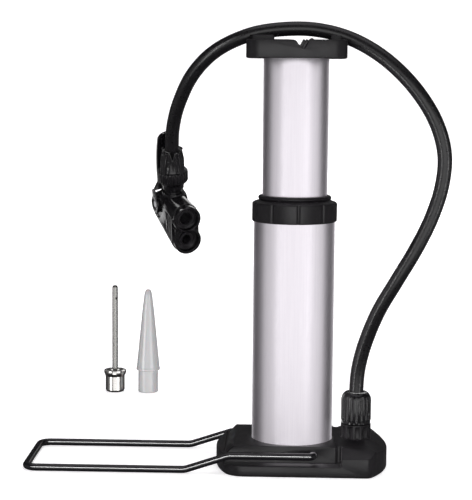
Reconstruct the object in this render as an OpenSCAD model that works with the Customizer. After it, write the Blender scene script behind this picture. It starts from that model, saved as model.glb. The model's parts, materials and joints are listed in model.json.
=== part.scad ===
// Foot pump with a wire foot bail, a hose with a twin valve head, and two loose adapters.
// Millimetres. +Z is up and +X points to the hose port.
// The origin is where the barrel's axis meets the floor.

/* [Foot base] */
// Half of the base's depth, front to back
base_half_d = 34.5; // [33:0.5:42]
// How far the base reaches to the left of the barrel's axis
base_left = 42.4; // [40:0.2:48]
// How far the base reaches to the right of the barrel's axis
base_right = 53.5; // [51:0.5:62]
// Radius of the base's left end
left_end_r = 72; // [60:1:90]
// Radius of the base's right end
right_end_r = 60; // [50:1:80]
// Corner radius at the left end
left_corner_r = 11; // [6:0.5:14]
// Corner radius at the right end
right_corner_r = 4; // [2:0.5:8]
// Thickness of the foot plate beside the deck
plate_h = 5.8; // [5:0.1:7.5]
// Height of the deck round the barrel
deck_h = 15; // [13.6:0.1:18]
// Height of the deck at its sloping ends
rim_h = 10.6; // [8:0.1:12.5]
// Half depth of the deck between the two wire channels
deck_half_d = 25.6; // [24.6:0.1:26.2]
// Right end of the wire channels
channel_end = 27; // [20:0.5:28]
// Wall left round the pockets under the base
rim_wall = 3; // [2:0.5:5]
// Depth of the pockets under the base
pocket_h = 3.2; // [1:0.1:3.4]

/* [Barrel and collar] */
// Outside diameter of the barrel
barrel_od = 45; // [44:0.1:45.4]
// Wall of the barrel
barrel_wall = 1.5; // [1:0.1:2]
// Height of the barrel's top end above the floor
barrel_top = 145; // [135:0.5:160]
// Height of the socket's floor, where the barrel stands
socket_floor = 6; // [5.6:0.1:7]
// Height of the plug in the barrel's foot
plug_h = 7; // [6:0.5:9]
// Height of the collar's grooved ring
collar_ring_h = 10.7; // [8:0.1:14]
// How far the collar's ring reaches up past the barrel's end
collar_over = 2.5; // [2:0.1:4]
// Wall of the collar outside the barrel
collar_wall = 1.1; // [0.9:0.1:2]
// Height of the collar's top lip
lip_h = 3.8; // [3.6:0.1:5]
// Outside diameter of the collar's top lip
lip_od = 40.6; // [40.2:0.1:43]
// Number of grooves round the collar
collar_grooves = 10; // [6:1:24]
// Width of a collar groove
groove_w = 1.8; // [1:0.1:3]
// Depth of a collar groove
groove_d = 0.7; // [0.3:0.1:0.8]

/* [Piston and handle] */
// Outside diameter of the piston tube
tube_od = 36; // [34:0.1:36.4]
// Wall of the piston tube
tube_wall = 1.4; // [1:0.1:2]
// Length of piston tube that shows when it is pulled out
tube_shown = 75; // [60:0.1:100]
// Stroke of the piston
stroke = 67; // [50:1:71]
// Length of the handle
handle_l = 54.6; // [50:0.2:70]
// Width of the handle, front to back
handle_w = 46; // [43:0.5:50]
// Thickness of the handle
handle_h = 10; // [9:0.1:14]
// Corner radius of the handle, seen from above
handle_corner_r = 8; // [4:0.5:12]
// Place of the bail's notch along the handle
notch_x = 3.6; // [2:0.1:5]
// Depth of the bail's notch
notch_d = 4.5; // [4:0.1:4.8]
// Depth of the socket that the tube stands in
tube_seat = 3; // [2:0.5:4]
// Length of the hose saddle at the handle's left end
saddle_left_l = 12; // [6:0.5:14]
// Length of the hose saddle at the handle's right end
saddle_right_l = 6; // [4:0.5:10]
// Width of the hose saddles
saddle_w = 13; // [11:0.5:16]
// Height of the hose saddles above the handle
saddle_h = 2.6; // [1.5:0.1:3.5]

/* [Wire foot bail] */
// Diameter of the wire
wire_d = 4; // [3.4:0.1:4.2]
// Height of the bail's pivots
pivot_z = 10; // [9:0.1:10.6]
// Place of the bail's pivots along the base
pivot_x = 11.6; // [8:0.1:14]
// Distance from the barrel's axis to the bail's crossbar
bail_reach = 146.7; // [130:0.1:170]
// Gap between a wire leg and the deck's side
leg_gap = 1; // [0.6:0.1:1.5]
// Bend radius at the crossbar's ends
bail_bend_r = 6; // [4:0.5:12]
// Depth of the pivot eyes
eye_depth = 4.6; // [3:0.2:5]

/* [Hose and port] */
// Outside diameter of the hose
hose_d = 8; // [7:0.1:8.2]
// Outside diameter of the port's boss
boss_d = 16.8; // [15.6:0.2:19]
// Height of the boss's shoulder above the floor
boss_top = 23; // [20:0.5:24]
// Diameter of the screwed spigot on the boss
spigot_d = 12.8; // [12:0.1:13.2]
// Height of the screwed spigots under both nuts
spigot_h = 5; // [3:0.5:6]
// Height of the gland nut's ribbed part
gland_h = 13.6; // [10:0.2:15]
// Height of the gland nut's tapered top
gland_taper_h = 4.1; // [3:0.1:6]
// Number of ribs round the gland nut
gland_ribs = 18; // [10:1:20]

/* [Valve head] */
// Turn of the nozzles away from straight ahead, in degrees
head_turn = 26; // [0:1:45]
// Radius of each of the body's two round sides
body_r = 8.6; // [7.8:0.1:9]
// Spacing of the two nozzles
nozzle_gap = 13.6; // [13:0.1:15.4]
// Length from the hose's axis to the body's front edge
body_front = 18; // [16:0.5:22]
// Depth of the nozzles' axis under the clamp nut
axis_drop = 12; // [11.6:0.1:14]
// Distance from the hose's axis back to the lever's pin
pin_back = 6; // [5.8:0.1:7]
// Thickness of the nozzle cap in front of the body
cap_t = 4.2; // [2.6:0.1:5]
// Outside radius of the nozzle cap
cap_r = 8.2; // [7.4:0.1:8.4]
// Diameter of the clamp nut's ribbed ring
clamp_d = 18; // [17:0.1:20]
// Number of ribs round the clamp nut
clamp_ribs = 28; // [16:1:30]
// Height of the clamp nut up to the top of its ribs
clamp_ring_h = 11.4; // [10:0.1:13]
// Height of the clamp nut's finger cage
cage_h = 12.5; // [8:0.5:14]
// Diameter of the screwed spigot on the head
head_spigot_d = 11; // [10.4:0.1:11.6]
// Bore of the wide nozzle's seal
wide_bore = 7.8; // [7:0.1:8.2]
// Bore of the narrow nozzle's seal
narrow_bore = 6; // [5:0.1:6.6]
// Height of the lever above the clamp nut's foot
lever_top = 32; // [26:0.5:38]
// Width of the lever
lever_w = 10; // [8:0.2:13]
// Thickness of the lever
lever_t = 2.2; // [1.6:0.1:2.6]
// Diameter of the lever's pin
pin_d = 4; // [3:0.1:4.4]
// Throw of the lever's cam
cam_throw = 1.2; // [0.6:0.1:1.4]

/* [Loose adapters] */
// Place of the ball needle on the floor, sideways
needle_x = -120.3; // [-128:0.1:-114]
// Place of the cone nozzle on the floor, sideways
cone_x = -97.6; // [-101:0.1:-88]
// Place of both adapters behind the barrel's axis
adapter_y = 182; // [130:1:190]
// Length of the ball needle
needle_l = 73.6; // [50:0.1:80]
// Diameter of the needle's tube
needle_d = 3.8; // [2:0.1:4.4]
// Height of the needle's screwed head
needle_head_h = 15.4; // [8:0.2:18]
// Diameter of the needle's screwed head
needle_head_d = 13; // [8:0.2:15]
// Length of the cone nozzle
cone_l = 70.7; // [45:0.1:74]
// Diameter of the cone nozzle's shoulder
cone_d = 16; // [14.8:0.2:18]
// Diameter of the cone nozzle's spigot
cone_spigot_d = 13.4; // [9:0.2:14.2]
// Length of the cone nozzle's spigot
cone_spigot_l = 15; // [9:0.2:18]
// Diameter of the cone nozzle's tip
cone_tip_d = 4.8; // [4:0.2:7]

/* [Fits] */
// Radial clearance of running and sliding fits
run_gap = 0.06; // [0.02:0.01:0.1]
// Radial clearance of pieces that are pushed or screwed together
fit_gap = 0.05; // [0.02:0.01:0.1]
// Clearance between faces that pass or face each other
face_gap = 0.3; // [0.1:0.05:0.4]

/* [Hidden] */
$fn = 64;
EPS = 0.01;

// Barrel, collar and bush
barrel_r = barrel_od / 2;
bore_r = barrel_r - barrel_wall;
tube_r = tube_od / 2;
tube_ir = tube_r - tube_wall;
socket_r = barrel_r + face_gap;
collar_r = barrel_r + collar_wall;
collar_top = barrel_top + collar_over;
collar_bottom = collar_top - collar_ring_h;
lip_top = collar_top + lip_h;
lip_t = 1.6;
lip_bead = 1.35;
ring_chamfer = 0.6;
collar_groove_turn = -85;
bush_flange_t = 1.5;
bush_relief = 0.5;
bush_land = 8;
wiper_r = 19.2;
wiper_top = lip_top - lip_t;

// Plug, valve and screws in the barrel's foot
plug_top = socket_floor + plug_h;
ring_minor = 1.3;
ring_z = socket_floor + plug_h * 0.6;
ring_groove_h = 2 * ring_minor + 0.2;
ring_groove_r = bore_r - 2 * ring_minor - 2 * fit_gap;
screw_circle_r = 13;
screw_count = 3;
screw_d = 3;
screw_head_d = 5.8;
screw_head_h = 2.2;
screw_engage = 5;
valve_recess_r = 6;
valve_recess_h = 1.6;
flap_r = 4.6;
flap_t = 0.8;
valve_stem_r = 1.2;
valve_bulb_r = 1.7;
valve_port_r = 0.8;
valve_port_circle = 3;
valve_ports = 6;

// Base
roof_left = -32;
roof_left_drop = 4.1;
roof_right = 41;
relief_r = 1.7;
corner_steps = 8;
end_steps = 24;
roof_inset = 0.4;
hub_r = 19;
rib_t = 1.8;
rib_places = [-30, 29];
air_r = 1.2;
air_z = 3;
well_r = 2.2;
port_x = 36;
port_rib_w = 9;
port_bore_r = 3;
leg_y = deck_half_d + leg_gap + wire_d / 2;
eye_r = wire_d / 2 + run_gap;
boss_windows = 12;
window_w = 2.4;
window_d = 0.9;
window_turn = 4;

// Piston, rod and handle
handle_bottom = lip_top + tube_shown;
head_rest_gap = 5.5;
handle_top = handle_bottom + handle_h;
head_bottom = plug_top + stroke + head_rest_gap;
head_flange_t = 2.5;
cup_h = 3.5;
shoulder_t = 2;
head_shoulder = head_bottom + head_flange_t + cup_h + shoulder_t;
head_r = bore_r - 0.4;
cup_ir = bore_r - 2.8;
head_spigot_h = 8;
bush_bottom = head_shoulder + 0.5;
bolt_d = 5;
bolt_head_d = 8;
bolt_head_h = 3;
nut_d = 8.8;
nut_h = 4;
handle_spigot_h = 5;
handle_wall = 2.6;
handle_pocket_h = 5.5;
saddle_inset = 3;
socket_wall = 2;
nut_floor = 2.5;
nut_z = handle_bottom - handle_spigot_h + nut_floor;
bolt_end = nut_z + nut_h + 0.6;
notch_left = 3.9;
notch_right = 3.4;
notch_floor_w = 1;
notch_lead = 5;
lip_bead_r = 0.9;

// Bail
wire_r = wire_d / 2;
deck_leave_x = -34.5;
floor_reach_x = -58.7;
eye_bend_r = 2.5;
leg_bend_r = 12;
weld_l = 0.2;

// Route of the hose from the base's barb, over the handle, to the valve head's barb
hose_r = hose_d / 2;
route = [
    [36, 0, 33], [36, 0, 43], [37, -1, 55], [40.5, -4, 70], [47, -9, 88], [56, -13, 105],
    [66, -15, 123], [74, -15.5, 140], [79.5, -15.5, 158], [80.5, -15.5, 176], [75, -14.5, 194],
    [63.5, -12, 211.5], [48, -7, 226.5], [30, -2, 237], [10.5, 0, 242], [-9.5, 0, 242],
    [-27.5, 1.5, 238.5], [-45, 7.5, 230], [-58, 16.5, 217], [-66.5, 27.5, 200.5],
    [-70.5, 36.5, 186], [-71.4, 43.4, 173.5], [-71.4, 47, 164]
];
hose_split = 14;
route_last = len(route) - 1;
hose_steps = 2;
hose_sides = 10;

// Loose adapters
needle_hole_drop = 9;
cone_shoulder_h = 2.6;
cone_nose_l = 14;
cone_nose_grow = 1.5;
cone_round_l = 3;
cone_bore_step = 8;
cone_spigot_wall = 2.5;

// Gland nut on the base's boss
boss_r = boss_d / 2;
gland_bottom = boss_top + face_gap;
gland_rib_r = 1.15;
gland_skirt_h = 2.2;
nut_hole_r = hose_r + 0.2;
thread_r = spigot_d / 2;
head_thread_r = head_spigot_d / 2;
stop_lip = 1.2;
barb_r = 2.6;
barb_step = 0.5;

// Valve head frame: x along the nozzles, z along the hose, origin at the clamp nut's foot
hose_end = route[route_last];
hose_end_dir = (hose_end - route[route_last - 1]) / norm(hose_end - route[route_last - 1]);
tail_l = 14;
head_pos = hose_end + hose_end_dir * tail_l;
head_tilt = atan2(hose_end_dir[1], -hose_end_dir[2]);
upper_z = -axis_drop;
lower_z = upper_z - nozzle_gap;
pin_x = -pin_back;
pin_r = pin_d / 2;
body_back_r = 7.5;
back_gap = 4.4;
heel_z = upper_z - 7.5;
heel_r = 9;
neck_r = 5;
neck_ring_r = 6.6;
body_top = upper_z + body_r;
pocket_r = 5.6;
low_pocket_r = 5;
pocket_back = 3;
low_pocket_back = body_front - 6.5;
cam_r = 4;
cam_half_w = 3;
cam_pocket_r = cam_throw + cam_r + face_gap;
plunger_lift = 0.4;
seal_proud = 1.2;
plunger_stem_r = 2.5;
plunger_head_x = 4.5;
plunger_head_t = 2.8;
stem_back = pin_x + cam_throw + cam_r + plunger_lift;
seal_front = body_front + seal_proud;
wide_seal_back = plunger_head_x + plunger_head_t + face_gap;
flat_half_w = 7.3;
ear_inner = flat_half_w + face_gap;
ear_t = 1.5;
ear_outer = ear_inner + ear_t;
ear_r = 5.25;
ear_boss_t = 0.7;
ear_sweep_r = 8.3;
ear_top_drop = 1.5;
pin_half_l = ear_outer + ear_boss_t - 0.4;
lever_arc_r = 57;
lever_mid_z = 10;
lever_mid_x = -13;
lever_foot_z = -5;
lever_web_top = -0.5;
blade_depth = 15;
skirt_l = 10;
skirt_rise = 1.5;
skirt_t = 1.3;
skirt_ribs = 5;
skirt_rib_pitch = 1.5;
skirt_rib_d = 0.4;
cap_web_drop = 1.6;
cap_recess = 3;
cap_rim_t = 1.6;
seal_rim = 1.2;

clamp_r = clamp_d / 2;
clamp_rib_r = 0.7;
clamp_foot_h = 2.4;
clamp_foot_r = 6.4;
clamp_taper_h = 3;
cage_r = 7.2;
cage_top_r = 5.6;
finger_count = 4;
finger_turn = 23.6;
finger_w = 3.6;
finger_foot = 8.3;
finger_tip = 7.2;
finger_tip_r = 0.8;
cage_notch_w = 3.4;
cage_notch_h = 4.5;

// ---- shared shapes ----

// A ring or disc between two radii and two heights
module ring(r_in, r_out, z0, z1) {
    translate([0, 0, z0])
        difference() {
            cylinder(r = r_out, h = z1 - z0);
            translate([0, 0, -1]) cylinder(r = r_in, h = z1 - z0 + 2);
        }
}

// Two circles and the area between their common tangents
module link_2d(p, rp, q, rq) {
    d = norm(q - p);
    turn = atan2(q[1] - p[1], q[0] - p[0]);
    lean = acos((rp - rq) / d);
    translate(p) circle(r = rp);
    translate(q) circle(r = rq);
    polygon([
        p + rp * [cos(turn + lean), sin(turn + lean)],
        q + rq * [cos(turn + lean), sin(turn + lean)],
        q + rq * [cos(turn - lean), sin(turn - lean)],
        p + rp * [cos(turn - lean), sin(turn - lean)]
    ]);
}

// A round rod from p to q
module rod(p, q, r) {
    v = q - p;
    translate(p)
        rotate([0, acos(v[2] / norm(v)), atan2(v[1], v[0])])
            cylinder(r = r, h = norm(v));
}

// A rectangle with round corners, centred
module round_rect(l, w, r) {
    square([l - 2 * r, w], center = true);
    square([l, w - 2 * r], center = true);
    for (x = [-1, 1], y = [-1, 1])
        translate([x * (l / 2 - r), y * (w / 2 - r)]) circle(r = r);
}

// ---- hose ----

function unit(v) = v / norm(v);
function route_at(i) =
    i < 0 ? 2 * route[0] - route[1] :
    i > route_last ? 2 * route[route_last] - route[route_last - 1] : route[i];

// A point of the smooth curve through the route, u from 0 to 1 past point i
function curve(i, u) =
    let (a = route_at(i - 1), b = route_at(i), c = route_at(i + 1), d = route_at(i + 2))
    0.5 * (2 * b + (c - a) * u + (2 * a - 5 * b + 4 * c - d) * u * u
        + (3 * b - a - 3 * c + d) * u * u * u);

function slope(i, u) =
    let (a = route_at(i - 1), b = route_at(i), c = route_at(i + 1), d = route_at(i + 2))
    unit(0.5 * ((c - a) + 2 * (2 * a - 5 * b + 4 * c - d) * u + 3 * (3 * b - a - 3 * c + d) * u * u));

// Rings of the hose's skin between two route points
function hose_rings(first, last, r) = [
    for (k = [0 : (last - first) * hose_steps])
        let (i = min(first + floor(k / hose_steps), last - 1), u = first + k / hose_steps - i)
        let (p = curve(i, u), t = slope(i, u))
        let (side = unit(cross(t, [0, 1, 0.2])), up = cross(side, t))
        [for (s = [0 : hose_sides - 1])
            let (w = 360 * s / hose_sides) p + r * (cos(w) * side + sin(w) * up)]
];

module hose_stretch(first, last, r) {
    rings = hose_rings(first, last, r);
    count = len(rings);
    n = hose_sides;
    skin = [for (k = [0 : count - 2], s = [0 : n - 1])
        let (a = k * n + s, b = k * n + (s + 1) % n)
        each [[a, b, b + n], [a, b + n, a + n]]];
    foot = [[for (s = [n - 1 : -1 : 0]) s]];
    end = [[for (s = [0 : n - 1]) (count - 1) * n + s]];
    polyhedron(points = [for (ring = rings) each ring], faces = concat(skin, foot, end));
}

module hose_riser() {
    color("#141416") hose_stretch(0, hose_split, hose_r);
}

module hose_drop() {
    color("#141416") hose_stretch(hose_split, route_last, hose_r);
}

// ---- base ----

// Points of an arc, with its first and last steps left out where skip is 1
function arc(c, r, from, to, steps, skip = 0) = [
    for (k = [skip : steps - skip])
        let (w = from + (to - from) * k / steps) c + r * [cos(w), sin(w)]
];

// Points round one end of the base: an arc of radius r about x, between two round corners
function end_points(x, r, corner, half_d) =
    let (out = sqrt(pow(r - corner, 2) - pow(half_d - corner, 2)))
    let (w = atan2(half_d - corner, out))
    concat(
        arc([x + out, corner - half_d], corner, -90, -w, corner_steps),
        arc([x, 0], r, -w, w, end_steps, 1),
        arc([x + out, half_d - corner], corner, w, 90, corner_steps)
    );

// The base's outline, shrunk on every side
module base_outline(inset = 0) {
    half_d = base_half_d - inset;
    right_corner = max(right_corner_r - inset, 1);
    right = end_points(base_right - right_end_r, right_end_r - inset, right_corner, half_d);
    left = end_points(base_left - left_end_r, left_end_r - inset, left_corner_r - inset, half_d);
    polygon(concat(right, [for (p = left) -p]));
}

// Side view of the deck: a steep chamfer at the left and a long slope at the right
module deck_side() {
    rotate([90, 0, 0])
        linear_extrude(2 * base_half_d, center = true)
            polygon([
                [-base_left, 0], [-base_left, rim_h - 0.5],
                [roof_left - roof_left_drop, deck_h - roof_left_drop], [roof_left, deck_h],
                [roof_right, deck_h], [base_right, rim_h], [base_right, 0]
            ]);
}

// End view of the block round the hose port, which slopes down at front and back
module block_end() {
    rotate([90, 0, 90])
        translate([0, 0, channel_end])
            linear_extrude(base_right)
                polygon([
                    [-base_half_d, 0], [-base_half_d, rim_h], [roof_inset - deck_half_d, deck_h],
                    [deck_half_d - roof_inset, deck_h], [base_half_d, rim_h], [base_half_d, 0]
                ]);
}

// Rounded relief down the deck's side where the block begins
module side_relief(side) {
    translate([channel_end - relief_r * 0.7, side * (deck_half_d - relief_r * 0.4), plate_h])
        cylinder(r = relief_r, h = deck_h);
}

module base_body() {
    linear_extrude(plate_h) base_outline();
    intersection() {
        linear_extrude(deck_h) base_outline();
        deck_side();
        union() {
            translate([-base_left, -deck_half_d, 0])
                cube([base_left + channel_end, 2 * deck_half_d, deck_h]);
            block_end();
        }
    }
    translate([port_x, 0, 0])
        difference() {
            cylinder(r = boss_r, h = boss_top);
            for (k = [0 : boss_windows - 1])
                rotate([0, 0, window_turn + 360 * k / boss_windows])
                    translate([boss_r - window_d, -window_w / 2, deck_h + 0.4])
                        cube([boss_r, window_w, boss_top - deck_h - 1.6]);
        }
    translate([port_x, 0, 0]) cylinder(r = thread_r, h = boss_top + spigot_h);
}

// Hollows under the base, between its rim, hub and ribs
module base_pockets() {
    translate([0, 0, -1])
        linear_extrude(pocket_h + 1)
            difference() {
                base_outline(rim_wall);
                circle(r = hub_r);
                translate([0, -port_rib_w / 2]) square([port_x, port_rib_w]);
                translate([port_x, 0]) circle(r = boss_r + 1);
                translate([-base_left, -rib_t / 2]) square([base_left + base_right, rib_t]);
                for (x = rib_places)
                    translate([x - rib_t / 2, -base_half_d]) square([rib_t, 2 * base_half_d]);
            }
}

module base() {
    color("#1c1c1f")
        difference() {
            base_body();
            base_pockets();
            translate([0, 0, socket_floor]) cylinder(r = socket_r, h = deck_h, $fn = 128);
            translate([0, 0, air_z - air_r]) cylinder(r = well_r, h = deck_h);
            rod([0, 0, air_z], [port_x, 0, air_z], air_r);
            translate([port_x, 0, air_z - air_r]) cylinder(r = port_bore_r, h = boss_top + spigot_h);
            at_screws() {
                translate([0, 0, -1]) cylinder(d = screw_d + 2 * face_gap, h = socket_floor + 2);
                translate([0, 0, -1]) cylinder(d = screw_head_d + 2 * face_gap, h = screw_head_h + 1);
            }
            for (side = [-1, 1]) {
                side_relief(side);
                rod([pivot_x, side * (deck_half_d + 1), pivot_z],
                    [pivot_x, side * (deck_half_d - eye_depth), pivot_z], eye_r);
            }
        }
}

module at_screws() {
    for (k = [0 : screw_count - 1])
        rotate([0, 0, 90 + 360 * k / screw_count])
            translate([screw_circle_r, 0, 0]) children();
}

// ---- barrel and what closes it ----

module barrel() {
    color("#d8d4d8") ring(bore_r, barrel_r, socket_floor, barrel_top, $fn = 128);
}

module barrel_plug() {
    color("#2a2a2c")
        difference() {
            translate([0, 0, socket_floor]) cylinder(r = bore_r - fit_gap, h = plug_h);
            ring(ring_groove_r, bore_r + 1, ring_z - ring_groove_h / 2, ring_z + ring_groove_h / 2);
            translate([0, 0, socket_floor - 1]) cylinder(r = valve_recess_r, h = valve_recess_h + 1);
            translate([0, 0, socket_floor]) cylinder(r = valve_stem_r + fit_gap, h = plug_h + 1);
            for (k = [0 : valve_ports - 1])
                rotate([0, 0, 360 * k / valve_ports])
                    translate([valve_port_circle, 0, socket_floor])
                        cylinder(r = valve_port_r, h = plug_h + 1);
            at_screws()
                translate([0, 0, socket_floor - 1])
                    cylinder(r = screw_d / 2 + fit_gap, h = screw_engage + 1.5);
        }
}

module barrel_ring() {
    color("#151515")
        translate([0, 0, ring_z])
            rotate_extrude()
                translate([bore_r - ring_minor - fit_gap, 0]) circle(r = ring_minor);
}

module plug_screws() {
    color("#9a9a9e")
        at_screws()
            difference() {
                union() {
                    cylinder(d = screw_d, h = socket_floor + screw_engage);
                    translate([0, 0, 0.4]) cylinder(d = screw_head_d, h = screw_head_h - 0.4);
                }
                for (turn = [0, 90])
                    rotate([0, 0, turn])
                        translate([-screw_head_d / 3, -0.4, -1]) cube([screw_head_d / 1.5, 0.8, 2.4]);
                translate([0, 0, -1]) cylinder(d = screw_head_d, h = 1.4);
            }
}

// A mushroom of rubber: its flap covers the ports and its bulb holds it in the plug
module check_valve() {
    flap_top = socket_floor + valve_recess_h - fit_gap;
    color("#7c2f24") {
        rotate_extrude()
            polygon([
                [0, flap_top - flap_t - 0.6], [valve_stem_r, flap_top - flap_t - 0.6],
                [flap_r, flap_top - 0.5],
                [flap_r, flap_top], [valve_stem_r, flap_top], [valve_stem_r, plug_top + 0.1],
                [valve_bulb_r, plug_top + 0.3], [valve_stem_r * 0.6, plug_top + 1.2], [0, plug_top + 1.2]
            ]);
    }
}

module collar() {
    bottom = collar_bottom;
    color("#1c1c1f")
        difference() {
            rotate_extrude($fn = 128)
                polygon([
                    [barrel_r + fit_gap, bottom], [collar_r - 0.5, bottom], [collar_r, bottom + 0.5],
                    [collar_r, collar_top - ring_chamfer], [collar_r - ring_chamfer, collar_top],
                    each arc([lip_od / 2 - lip_bead, lip_top - lip_bead], lip_bead, -55, 90, 10),
                    [tube_r + face_gap, lip_top],
                    [tube_r + face_gap, wiper_top], [wiper_r + fit_gap, wiper_top],
                    [wiper_r + fit_gap, barrel_top + bush_flange_t + fit_gap],
                    [barrel_r + fit_gap, barrel_top + bush_flange_t + fit_gap]
                ]);
            for (k = [0 : collar_grooves - 1])
                rotate([0, 0, collar_groove_turn + 360 * k / collar_grooves])
                    translate([collar_r, 0, bottom - 1])
                        linear_extrude(collar_ring_h + 2)
                            polygon([
                                [1, -groove_w / 2 - 1], [-groove_d, -groove_w / 4],
                                [-groove_d, groove_w / 4], [1, groove_w / 2 + 1]
                            ]);
        }
}

module guide_bush() {
    outer = bore_r - fit_gap;
    inner = tube_r + run_gap;
    color("#d9d5c4")
        rotate_extrude($fn = 128)
            polygon([
                [inner, bush_bottom], [outer, bush_bottom], [outer, barrel_top],
                [barrel_r - fit_gap, barrel_top], [barrel_r - fit_gap, barrel_top + bush_flange_t],
                [inner, barrel_top + bush_flange_t], [inner, barrel_top - bush_land],
                [inner + bush_relief, barrel_top - bush_land - bush_relief],
                [inner + bush_relief, bush_bottom + bush_land + bush_relief],
                [inner, bush_bottom + bush_land]
            ]);
}

module wiper_ring() {
    foot = barrel_top + bush_flange_t + 2 * fit_gap;
    color("#151515")
        rotate_extrude($fn = 128)
            polygon([
                [tube_r + run_gap + 0.4, foot], [wiper_r, foot], [wiper_r, wiper_top - fit_gap],
                [tube_r + run_gap, wiper_top - fit_gap], [tube_r + run_gap, wiper_top - 0.6]
            ]);
}

// ---- hose port ----

// A barb tail from z0 to z1 with three teeth
module barb(z0, z1) {
    tooth = (z1 - z0) / 3;
    rotate_extrude()
        polygon([
            [0, z0],
            for (k = [0 : 2]) each [[barb_r - barb_step, z0 + k * tooth], [barb_r, z0 + k * tooth + 0.3],
                [barb_r - barb_step, z0 + (k + 1) * tooth]],
            [0, z1]
        ]);
}

module hose_port() {
    barb_top = route[0][2];
    stop = boss_top + spigot_h;
    port_foot = air_z + air_r + 1;
    color("#b39a54")
        translate([port_x, 0, 0])
            difference() {
                union() {
                    translate([0, 0, port_foot]) cylinder(r = port_bore_r - fit_gap, h = stop - port_foot);
                    translate([0, 0, stop]) cylinder(r = thread_r - stop_lip, h = 1);
                    barb(stop + 1, barb_top);
                }
                translate([0, 0, air_z]) cylinder(r = air_r, h = barb_top);
            }
}

// Outline of a nut with round ribs, whose valleys lie rib_r / 2 below the ribs
module ribbed_circle(r, ribs, rib_r) {
    circle(r = r - rib_r / 2);
    for (k = [0 : ribs - 1])
        rotate(360 * k / ribs) translate([r - rib_r, 0]) circle(r = rib_r, $fn = 24);
}

// The inside of a nut: a screwed bore, a cone and the hose's hole
module nut_bore(r, bore_h, top_h) {
    shoulder = bore_h - 1;
    translate([0, 0, -1]) cylinder(r = r, h = shoulder + 1);
    translate([0, 0, shoulder - EPS]) cylinder(r1 = r, r2 = nut_hole_r, h = r - nut_hole_r);
    translate([0, 0, shoulder]) cylinder(r = nut_hole_r, h = top_h + 2);
}

module gland_nut() {
    top_r = nut_hole_r + 0.9;
    full_h = gland_h + gland_taper_h;
    dome_z = gland_h - 1;
    dome_h = full_h - dome_z;
    color("#161618")
        translate([port_x, 0, gland_bottom])
            difference() {
                union() {
                    cylinder(r = boss_r - gland_rib_r / 4, h = gland_skirt_h);
                    intersection() {
                        translate([0, 0, gland_skirt_h - 0.5])
                            linear_extrude(full_h) ribbed_circle(boss_r, gland_ribs, gland_rib_r);
                        rotate_extrude()
                            polygon([
                                [0, 0], [boss_r + 0.2, 0], [boss_r + 0.2, dome_z],
                                for (w = [15 : 15 : 75])
                                    [top_r + (boss_r - top_r) * cos(w), dome_z + dome_h * sin(w)],
                                [top_r, full_h], [0, full_h]
                            ]);
                    }
                }
                nut_bore(thread_r + fit_gap, gland_h, gland_taper_h);
            }
}

// ---- loose adapters ----

module ball_needle_head() {
    r = needle_head_d / 2;
    h = needle_head_h;
    color("#c9c9cc")
        translate([needle_x, adapter_y, 0])
            rotate_extrude()
                polygon([
                    [needle_d / 2 + fit_gap, 1.5], [r - 2.4, 1.5], [r - 2.4, 0], [r - 1.5, 0],
                    [r - 0.5, 0.4], [r, 1.5], [r, h - 4.6],
                    [r + 0.9, h - 2.6], [r + 1.1, h - 1.6], [r + 0.9, h - 0.5], [r, h - 0.1],
                    [needle_d / 2 + 1.4, h - 0.4], [needle_d / 2 + fit_gap, h]
                ]);
}

module ball_needle_tube() {
    r = needle_d / 2;
    hole_z = needle_l - needle_hole_drop;
    color("#bfbfc4")
        translate([needle_x, adapter_y, 0])
            difference() {
                union() {
                    translate([0, 0, 2]) cylinder(r = r, h = needle_l - r - 2);
                    translate([0, 0, needle_l - r]) sphere(r = r);
                }
                translate([0, 0, 1]) cylinder(r = r * 0.55, h = needle_l - 2 * r);
                rod([0, 0, hole_z], [2 * r, -2 * r, hole_z], r * 0.5);
            }
}

module cone_nozzle() {
    shoulder = cone_spigot_l;
    tip = cone_tip_d / 2;
    bore = cone_tip_d / 4;
    spigot_r = cone_spigot_d / 2;
    shoulder_r = cone_d / 2;
    color("#c4c4c6")
        translate([cone_x, adapter_y, 0])
            rotate_extrude()
                polygon([
                    [spigot_r - cone_spigot_wall, 0], [spigot_r - 0.4, 0], [spigot_r, 0.5],
                    [spigot_r, shoulder], [shoulder_r, shoulder + 0.6], [shoulder_r, shoulder + 1.6],
                    [shoulder_r - 0.3, shoulder + cone_shoulder_h],
                    [tip + cone_nose_grow, cone_l - cone_nose_l], [tip + 0.2, cone_l - cone_round_l],
                    [tip - 0.4, cone_l - 1], [tip - 1.2, cone_l], [bore, cone_l],
                    [bore, shoulder + cone_bore_step],
                    [spigot_r - cone_spigot_wall, shoulder - 2]
                ]);
}

// ---- piston ----

module piston_tube() {
    color("#d3d0d4") ring(tube_ir, tube_r, head_shoulder, handle_bottom + tube_seat, $fn = 128);
}

module piston_head() {
    z = head_bottom;
    bolt_r = bolt_d / 2 + fit_gap;
    groove_top = head_shoulder - shoulder_t;
    color("#2a2a2c")
        rotate_extrude()
            polygon([
                [bolt_r, z], [head_r, z], [head_r, z + head_flange_t], [cup_ir, z + head_flange_t],
                [cup_ir, groove_top], [head_r, groove_top], [head_r, head_shoulder],
                [tube_ir - fit_gap, head_shoulder], [tube_ir - fit_gap, head_shoulder + head_spigot_h],
                [bolt_r, head_shoulder + head_spigot_h]
            ]);
}

// A cup seal whose lip opens downwards
module piston_cup() {
    z0 = head_bottom + head_flange_t + fit_gap;
    z1 = z0 + cup_h - 2 * fit_gap;
    seal_r = bore_r - fit_gap;
    color("#151515")
        rotate_extrude()
            polygon([
                [cup_ir + fit_gap, z1], [cup_ir + fit_gap, z0],
                [cup_ir + 0.9, z0], [cup_ir + 1.4, z1 - 1.1], [seal_r - 0.7, z0],
                [seal_r, z0], [seal_r - 0.1, z1 - 0.8], [seal_r - 0.5, z1]
            ]);
}

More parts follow.
